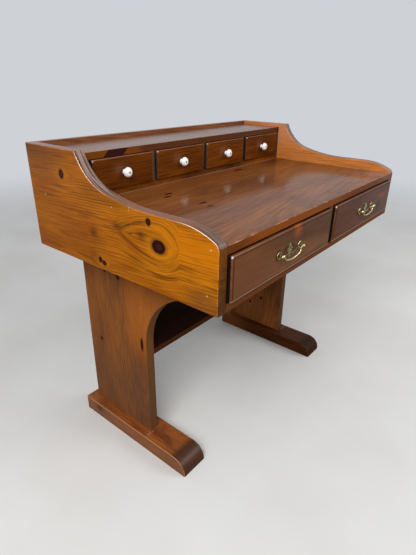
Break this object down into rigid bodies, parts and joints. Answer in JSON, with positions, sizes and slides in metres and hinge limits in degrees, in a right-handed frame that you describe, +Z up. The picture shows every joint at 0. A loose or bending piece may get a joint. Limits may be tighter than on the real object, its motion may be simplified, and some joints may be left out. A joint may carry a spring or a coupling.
{
  "type": "sewing desk",
  "caption": "Low pine sewing desk: scooped sides, drawers under a writing board, a gallery of small knobbed drawers and arched legs on rounded feet with a shelf.",
  "frame": {"origin": "on the floor, under the middle of the whole desk with its handles", "axes": "+X to the sitter's right along the front, +Y from the sitter to the back, +Z up"},
  "size_m": [0.98, 0.655, 0.894],
  "materials": {
    "side_wood": "glossy aged honey stain",
    "board_wood": "glossy reddish brown stain",
    "rail_wood": "satin brown stain",
    "back_wood": "satin brown stain",
    "leg_wood": "satin brown stain",
    "foot_wood": "satin reddish stain",
    "large_front_wood": "glossy dark brown stain",
    "small_front_wood": "glossy dark reddish stain",
    "inner_wood": "bare pine",
    "brass": "antique, dark in the recesses",
    "porcelain": "white glaze",
    "dark_steel": "tarnished"
  },
  "bodies": {
    "case": {"left_side": "side_wood", "right_side": "side_wood", "desktop": "board_wood", "gallery_shelf": "board_wood", "lower_shelf": "board_wood", "case_floor": "rail_wood", "gallery_floor": "rail_wood", "lower_back_board": "back_wood", "upper_back_board": "back_wood", "centre_partition": "rail_wood", "left_leg": "leg_wood", "right_leg": "leg_wood", "left_foot": "foot_wood", "right_foot": "foot_wood", "large_drawer_stops": "inner_wood", "small_drawer_stops": "inner_wood", "gallery_divider_1": "rail_wood", "gallery_divider_2": "rail_wood", "gallery_divider_3": "rail_wood", "left_end_stile": "rail_wood", "right_end_stile": "rail_wood", "small_drawer_guides": "inner_wood"},
    "left_drawer": {"left_drawer_front": "large_front_wood", "left_drawer_sides": "inner_wood", "left_drawer_back": "inner_wood", "left_drawer_bottom": "inner_wood", "left_drawer_pull_plate": "brass", "left_drawer_pull_posts": "brass"},
    "right_drawer": {"right_drawer_front": "large_front_wood", "right_drawer_sides": "inner_wood", "right_drawer_back": "inner_wood", "right_drawer_bottom": "inner_wood", "right_drawer_pull_plate": "brass", "right_drawer_pull_posts": "brass"},
    "left_bail": {"left_drawer_bail": "brass"},
    "right_bail": {"right_drawer_bail": "brass"},
    "small_drawer_1": {"small_drawer_1_front": "small_front_wood", "small_drawer_1_sides": "inner_wood", "small_drawer_1_back": "inner_wood", "small_drawer_1_bottom": "inner_wood", "small_drawer_1_knob": "porcelain", "small_drawer_1_screw": "dark_steel"},
    "small_drawer_2": {"small_drawer_2_front": "small_front_wood", "small_drawer_2_sides": "inner_wood", "small_drawer_2_back": "inner_wood", "small_drawer_2_bottom": "inner_wood", "small_drawer_2_knob": "porcelain", "small_drawer_2_screw": "dark_steel"},
    "small_drawer_3": {"small_drawer_3_front": "small_front_wood", "small_drawer_3_sides": "inner_wood", "small_drawer_3_back": "inner_wood", "small_drawer_3_bottom": "inner_wood", "small_drawer_3_knob": "porcelain", "small_drawer_3_screw": "dark_steel"},
    "small_drawer_4": {"small_drawer_4_front": "small_front_wood", "small_drawer_4_sides": "inner_wood", "small_drawer_4_back": "inner_wood", "small_drawer_4_bottom": "inner_wood", "small_drawer_4_knob": "porcelain", "small_drawer_4_screw": "dark_steel"}
  },
  "joints": [
    {"name": "left_drawer_slide", "type": "slide", "parent": "case", "child": "left_drawer", "axis": [0, -1, 0], "range_m": [0, 0.4]},
    {"name": "right_drawer_slide", "type": "slide", "parent": "case", "child": "right_drawer", "axis": [0, -1, 0], "range_m": [0, 0.4]},
    {"name": "left_bail_swing", "type": "hinge", "parent": "left_drawer", "child": "left_bail", "pos_m": [-0.23575, -0.32295, 0.692], "axis": [-1, 0, 0], "range_deg": [-20, 200]},
    {"name": "right_bail_swing", "type": "hinge", "parent": "right_drawer", "child": "right_bail", "pos_m": [0.23575, -0.32295, 0.692], "axis": [-1, 0, 0], "range_deg": [-20, 200]},
    {"name": "small_drawer_1_slide", "type": "slide", "parent": "case", "child": "small_drawer_1", "axis": [0, -1, 0], "range_m": [0, 0.085]},
    {"name": "small_drawer_2_slide", "type": "slide", "parent": "case", "child": "small_drawer_2", "axis": [0, -1, 0], "range_m": [0, 0.085]},
    {"name": "small_drawer_3_slide", "type": "slide", "parent": "case", "child": "small_drawer_3", "axis": [0, -1, 0], "range_m": [0, 0.085]},
    {"name": "small_drawer_4_slide", "type": "slide", "parent": "case", "child": "small_drawer_4", "axis": [0, -1, 0], "range_m": [0, 0.085]}
  ]
}
